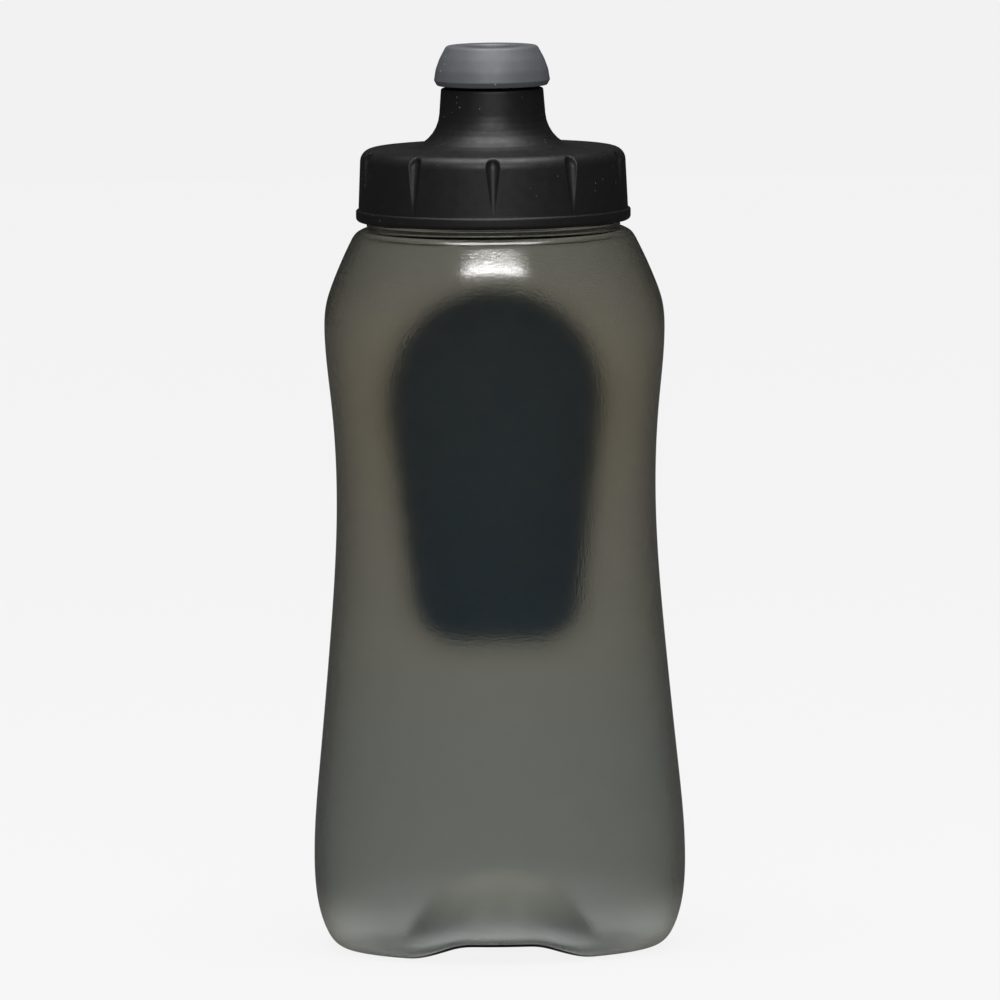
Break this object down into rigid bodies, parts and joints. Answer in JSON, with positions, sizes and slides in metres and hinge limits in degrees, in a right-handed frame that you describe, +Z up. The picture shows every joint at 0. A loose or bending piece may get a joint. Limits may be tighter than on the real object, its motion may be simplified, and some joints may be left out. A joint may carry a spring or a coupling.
{
  "type": "sports squeeze bottle",
  "caption": "Translucent oval squeeze bottle with a palm grip, a threaded screw cap and a push-pull spout with a soft self-sealing mouthpiece.",
  "frame": {"origin": "on the floor under the middle of the bottle, level with its feet", "axes": "+Z up along the bottle's axis, +X to the side of the wide oval, +Y to the back, where the palm grip is"},
  "size_m": [0.079, 0.0692, 0.192],
  "materials": {
    "frosted_wall": "smoke-tinted frosted polyethylene, see-through",
    "grip": "soft dark blue grip",
    "cap": "black, finely textured",
    "gasket": "grey silicone",
    "stem": "black, smooth",
    "seal": "black rubber",
    "valve": "grey silicone",
    "mouthpiece": "soft grey, matte"
  },
  "bodies": {
    "bottle": {"bottle_body": "frosted_wall", "palm_grip_pad": "grip"},
    "seal": {"cap_gasket": "gasket"},
    "cap": {"cap_shell": "cap", "shutoff_post": "cap"},
    "spout": {"spout_core": "stem", "spout_o_ring": "seal", "valve_retainer": "stem", "slit_valve": "valve", "mouthpiece": "mouthpiece"}
  },
  "joints": [
    {"name": "cap_rise", "type": "slide", "parent": "bottle", "child": "seal", "axis": [0, 0, 1], "range_m": [0, 0.015]},
    {"name": "cap_turn", "type": "hinge", "parent": "seal", "child": "cap", "pos_m": [0, 0, 0.16], "axis": [0, 0, 1], "range_deg": [0, 900]},
    {"name": "spout_pull", "type": "slide", "parent": "cap", "child": "spout", "axis": [0, 0, 1], "range_m": [0, 0.0054]}
  ],
  "couplings": [
    {"joint": "cap_rise", "follows": "cap_turn", "m_per_rad": 0.00095493}
  ]
}
